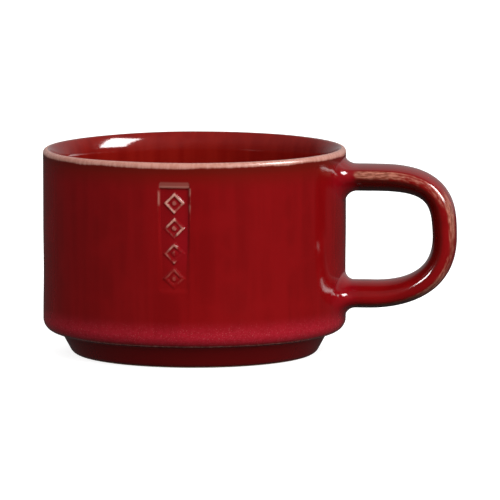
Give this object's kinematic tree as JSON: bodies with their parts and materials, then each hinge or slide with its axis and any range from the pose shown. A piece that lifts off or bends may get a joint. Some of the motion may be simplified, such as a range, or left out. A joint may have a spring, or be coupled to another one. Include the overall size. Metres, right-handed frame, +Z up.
{
  "type": "stacking mug",
  "caption": "Low straight-walled glazed stoneware mug with a rounded lip, a stepped stacking foot, a stamped front panel and one loop handle luted to the wall.",
  "frame": {"origin": "on the cup's vertical axis, in the plane that the foot's contact ring stands on", "axes": "+Z up along the cup's axis, +X towards the handle, -Y towards the stamped panel"},
  "size_m": [0.1235, 0.09, 0.0614],
  "materials": {
    "stoneware_clay": "matte",
    "handle_clay": "matte",
    "luting_slip": "matte",
    "liner_glaze": "gloss",
    "outer_glaze": "gloss",
    "handle_glaze": "gloss"
  },
  "bodies": {
    "root": {"cup_body": "stoneware_clay", "handle": "handle_clay", "upper_handle_joint": "luting_slip", "lower_handle_joint": "luting_slip", "liner_glaze": "liner_glaze", "outer_glaze": "outer_glaze", "handle_glaze": "handle_glaze"}
  },
  "joints": []
}
